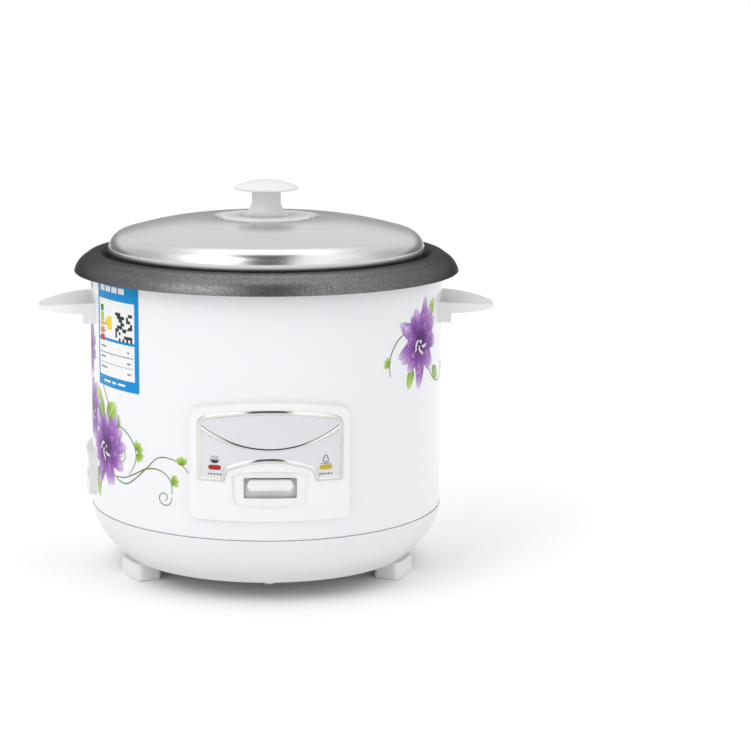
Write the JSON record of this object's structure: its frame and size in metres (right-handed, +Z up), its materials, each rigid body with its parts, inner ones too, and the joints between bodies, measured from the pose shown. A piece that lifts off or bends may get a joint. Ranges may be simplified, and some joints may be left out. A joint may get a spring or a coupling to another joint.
{
  "type": "rice cooker",
  "caption": "Electric rice cooker: white enamelled body, lift-out pot with a wide rim, domed steel lid with a knob, side handles and a front cook switch.",
  "frame": {"origin": "on the supporting surface, under the middle of the body", "axes": "+X to the right when facing the control panel, along the line through the two handles; +Y from the panel towards the back; +Z up"},
  "size_m": [0.26, 0.218, 0.2218],
  "materials": {
    "white_moulding": "slightly glossy white moulded plastic",
    "galvanised_sheet": "plain zinc-plated sheet",
    "zinc_steel": "bright zinc-plated steel",
    "white_enamel": "glossy white baked enamel",
    "bare_aluminium": "satin cast and drawn aluminium",
    "element_sheath": "heat-darkened steel sheath",
    "black_moulding": "black phenolic plastic",
    "brass_contact": "nickel-free brass blade",
    "ferrite": "dark grey sintered ferrite",
    "spring_steel": "bright spring wire",
    "panel_plastic": "warm white moulded plastic",
    "silver_inlay": "light silver-grey film",
    "chrome_trim": "bright chrome plating",
    "red_lens": "red translucent plastic",
    "amber_lens": "amber translucent plastic",
    "lamp_glass": "clear neon lamp glass",
    "pot_coating": "dark grey non-stick coating with a fine metallic sparkle over drawn aluminium",
    "stainless": "satin stainless steel",
    "knob_plastic": "milky translucent plastic",
    "lead_silicone": "glass-fibre sleeved lead"
  },
  "bodies": {
    "housing": {"base_ring": "white_moulding", "bottom_cover": "galvanised_sheet", "foot_front_left": "white_moulding", "foot_front_right": "white_moulding", "foot_rear": "white_moulding", "foot_screws": "zinc_steel", "cover_screws": "zinc_steel", "outer_shell": "white_enamel", "inner_liner": "bare_aluminium", "heating_element": "element_sheath", "element_terminals": "zinc_steel", "heating_plate": "bare_aluminium", "plate_screws": "zinc_steel", "warm_thermostat": "black_moulding", "thermal_fuse": "brass_contact", "fuse_clip": "zinc_steel", "thermostat_sleeve": "zinc_steel", "sleeve_screws": "zinc_steel", "sensor_spring": "spring_steel", "switch_bracket": "galvanised_sheet", "bracket_screws": "zinc_steel", "lever_pin": "zinc_steel", "micro_switch": "black_moulding", "switch_terminals": "brass_contact", "switch_screws": "zinc_steel", "control_panel": "panel_plastic", "panel_inlay": "silver_inlay", "trim_frame": "chrome_trim", "trim_band": "chrome_trim", "cook_lens": "red_lens", "warm_lens": "amber_lens", "cook_lamp": "lamp_glass", "warm_lamp": "lamp_glass", "lamp_holder": "white_moulding", "inlet_bezel": "white_moulding", "inlet_socket": "black_moulding", "inlet_pins": "brass_contact", "inlet_screws": "zinc_steel", "left_handle": "white_moulding", "right_handle": "white_moulding", "handle_screws": "zinc_steel", "live_lead": "lead_silicone", "neutral_lead": "lead_silicone", "switch_lead": "lead_silicone", "earth_lead": "lead_silicone", "lamp_leads": "lead_silicone"},
    "inner_pot": {"inner_pot": "pot_coating"},
    "lid": {"lid_shell": "stainless", "knob_base": "knob_plastic", "lid_knob": "knob_plastic", "knob_washer": "zinc_steel", "knob_screw": "zinc_steel"},
    "sensor": {"sensor_cap": "bare_aluminium", "ferrite_ring": "ferrite"},
    "switch_lever": {"switch_lever": "zinc_steel", "switch_paddle": "white_moulding"},
    "magnet": {"magnet": "ferrite", "magnet_cup": "zinc_steel", "magnet_spring": "spring_steel"},
    "switch_plunger": {"switch_plunger": "white_moulding"}
  },
  "joints": [
    {"name": "pot_lift", "type": "slide", "parent": "housing", "child": "inner_pot", "axis": [0, 0, 1], "range_m": [0, 0.15]},
    {"name": "lid_lift", "type": "slide", "parent": "inner_pot", "child": "lid", "axis": [0, 0, 1], "range_m": [0, 0.12]},
    {"name": "sensor_rise", "type": "slide", "parent": "housing", "child": "sensor", "axis": [0, 0, 1], "range_m": [0, 0.003], "deforming": ["sensor_spring"]},
    {"name": "cook_switch", "type": "hinge", "parent": "housing", "child": "switch_lever", "pos_m": [0, -0.048, 0.048], "axis": [1, 0, 0], "range_deg": [0, 4.4], "stiffness_Nm_per_rad": 0.2, "springref_deg": -11.46},
    {"name": "magnet_rise", "type": "slide", "parent": "housing", "child": "magnet", "axis": [0, 0, 1], "range_m": [0, 0.004], "deforming": ["magnet_spring"]},
    {"name": "plunger_travel", "type": "slide", "parent": "housing", "child": "switch_plunger", "axis": [0, 0, -1], "range_m": [0, 0.002]}
  ],
  "couplings": [
    {"joint": "sensor_rise", "follows": "pot_lift", "ratio": 0.02},
    {"joint": "magnet_rise", "follows": "cook_switch", "m_per_rad": 0.052},
    {"joint": "plunger_travel", "follows": "cook_switch", "m_per_rad": 0.026}
  ]
}
